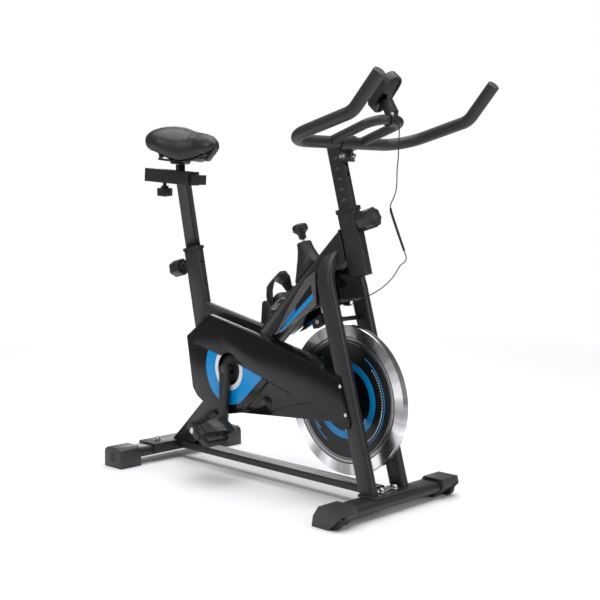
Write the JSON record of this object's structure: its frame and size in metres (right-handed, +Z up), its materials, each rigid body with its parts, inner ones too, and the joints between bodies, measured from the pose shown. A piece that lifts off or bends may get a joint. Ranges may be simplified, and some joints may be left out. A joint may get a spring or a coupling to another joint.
{
  "type": "exercise bike",
  "caption": "Indoor spin bike with a belt-driven flywheel, toe-cage pedals, sliding seat and handlebar posts, a press-down brake knob and a small console.",
  "frame": {"origin": "bottom centre of the whole bike, on the floor", "axes": "+X towards the handlebar, +Y to the rider's left, +Z up"},
  "size_m": [1.1432, 0.48, 1.1128],
  "materials": {
    "frame_paint": "satin charcoal powder coat on steel tube",
    "bar_coat": "matte black coating on the handlebar tube",
    "black_plastic": "fine-grained black moulding",
    "gloss_cover": "polished black moulding",
    "grey_trim": "satin mid-grey moulding",
    "bright_steel": "zinc-plated steel",
    "flywheel_iron": "black painted cast disc with a chromed rim",
    "chrome_rim": "chromed and polished rim",
    "blue_graphic": "bright blue printed rings",
    "white_graphic": "white printed rings",
    "black_rubber": "black rubber",
    "saddle_vinyl": "fine-grained black vinyl over foam",
    "brake_felt": "dark wool felt",
    "button_plastic": "soft red key"
  },
  "bodies": {
    "frame": {"main_beam": "frame_paint", "head_tube": "frame_paint", "seat_tube": "frame_paint", "top_tube": "frame_paint", "fork_leg_right": "frame_paint", "fork_leg_left": "frame_paint", "bottom_rail": "frame_paint", "front_base_plate": "frame_paint", "rear_bracket": "frame_paint", "front_stabiliser": "frame_paint", "rear_stabiliser": "frame_paint", "front_cap_right": "black_plastic", "front_cap_left": "black_plastic", "rear_foot_right": "black_plastic", "rear_foot_left": "black_plastic", "base_bolt_right": "bright_steel", "base_bolt_left": "bright_steel", "bottom_bracket_cartridge": "bright_steel", "drive_belt": "black_rubber", "flywheel_axle": "bright_steel", "chain_case": "gloss_cover", "chain_case_back": "black_plastic", "front_shroud": "gloss_cover", "trim_panel_right": "grey_trim", "trim_panel_left": "grey_trim", "seat_collar": "black_plastic", "bar_collar": "black_plastic", "brake_cowl": "black_plastic"},
    "flywheel": {"flywheel": "flywheel_iron", "flywheel_pulley": "bright_steel"},
    "crank": {"crank_axle": "bright_steel", "crank_arm_right": "frame_paint", "crank_arm_left": "frame_paint", "crank_pulley": "black_plastic"},
    "pedal_right": {"pedal_body_right": "black_plastic", "pedal_strap_right": "black_plastic"},
    "pedal_left": {"pedal_body_left": "black_plastic", "pedal_strap_left": "black_plastic"},
    "seat_post": {"seat_post": "frame_paint"},
    "slider": {"slider_tube": "frame_paint"},
    "saddle": {"saddle_clamp": "bright_steel", "saddle_rails": "frame_paint", "saddle_base": "black_plastic", "saddle_cushion": "saddle_vinyl"},
    "seat_knob": {"seat_knob": "black_plastic"},
    "slider_knob": {"slider_knob": "black_plastic"},
    "bar": {"bar_post": "frame_paint", "bar_clamp": "frame_paint", "handlebar": "bar_coat", "console_clamp": "black_plastic", "console": "black_plastic", "console_cable": "black_rubber"},
    "bar_knob": {"bar_knob": "black_plastic"},
    "console_button": {"console_button": "button_plastic"},
    "brake_rod": {"brake_rod": "bright_steel"},
    "brake_knob": {"brake_knob": "black_plastic"},
    "brake_arm": {"brake_arm": "black_plastic", "brake_pad": "brake_felt"},
    "wheel_right": {"transport_wheel_right": "black_rubber"},
    "wheel_left": {"transport_wheel_left": "black_rubber"}
  },
  "joints": [
    {"name": "flywheel_spin", "type": "hinge", "parent": "frame", "child": "flywheel", "pos_m": [0.265, 0, 0.269], "axis": [0, 1, 0], "continuous": true},
    {"name": "crank_spin", "type": "hinge", "parent": "frame", "child": "crank", "pos_m": [-0.1345, 0, 0.3125], "axis": [0, 1, 0], "continuous": true},
    {"name": "pedal_right_spin", "type": "hinge", "parent": "crank", "child": "pedal_right", "pos_m": [-0.14244, -0.136, 0.13768], "axis": [0, 1, 0], "continuous": true},
    {"name": "pedal_left_spin", "type": "hinge", "parent": "crank", "child": "pedal_left", "pos_m": [-0.12656, 0.136, 0.48732], "axis": [0, 1, 0], "continuous": true},
    {"name": "seat_post_slide", "type": "slide", "parent": "frame", "child": "seat_post", "axis": [-0.213, 0, 0.977], "range_m": [-0.14, 0.08]},
    {"name": "saddle_slide", "type": "slide", "parent": "seat_post", "child": "slider", "axis": [0.9972, 0, -0.075], "range_m": [-0.045, 0.025]},
    {"name": "saddle_tilt", "type": "hinge", "parent": "slider", "child": "saddle", "pos_m": [-0.4215, 0, 0.914], "axis": [0, 1, 0], "range_deg": [-8, 8]},
    {"name": "seat_knob_turn", "type": "hinge", "parent": "frame", "child": "seat_knob", "pos_m": [-0.35377, 0, 0.60294], "axis": [-0.977, 0, -0.213], "range_deg": [-540, 0]},
    {"name": "slider_knob_turn", "type": "hinge", "parent": "seat_post", "child": "slider_knob", "pos_m": [-0.499, 0, 0.82], "axis": [0, 0, -1], "range_deg": [-540, 0]},
    {"name": "bar_post_slide", "type": "slide", "parent": "frame", "child": "bar", "axis": [-0.2639, 0, 0.9646], "range_m": [-0.1, 0.055], "deforming": ["console_cable"]},
    {"name": "bar_knob_turn", "type": "hinge", "parent": "frame", "child": "bar_knob", "pos_m": [0.27584, 0, 0.72924], "axis": [0.9646, 0, 0.2639], "range_deg": [-540, 0]},
    {"name": "console_button_press", "type": "slide", "parent": "bar", "child": "console_button", "axis": [0.766, 0, -0.6428], "range_m": [0, 0.0012], "stiffness_N_per_m": 500},
    {"name": "brake_press", "type": "slide", "parent": "frame", "child": "brake_rod", "axis": [0.3649, 0, -0.9311], "range_m": [0, 0.009], "stiffness_N_per_m": 1500, "springref_m": -0.003},
    {"name": "tension_turn", "type": "hinge", "parent": "brake_rod", "child": "brake_knob", "pos_m": [0.09351, 0, 0.7066], "axis": [-0.3649, 0, 0.9311], "range_deg": [-720, 720]},
    {"name": "brake_arm_turn", "type": "hinge", "parent": "frame", "child": "brake_arm", "pos_m": [0.258, 0, 0.483], "axis": [0, -1, 0], "range_deg": [0, 6.3]},
    {"name": "wheel_right_spin", "type": "hinge", "parent": "frame", "child": "wheel_right", "pos_m": [0.43, -0.222, 0.0216], "axis": [0, 1, 0], "continuous": true},
    {"name": "wheel_left_spin", "type": "hinge", "parent": "frame", "child": "wheel_left", "pos_m": [0.43, 0.222, 0.0216], "axis": [0, 1, 0], "continuous": true}
  ],
  "couplings": [
    {"joint": "crank_spin", "follows": "flywheel_spin", "ratio": 0.28571},
    {"joint": "brake_arm_turn", "follows": "brake_press", "rad_per_m": 11.8}
  ]
}
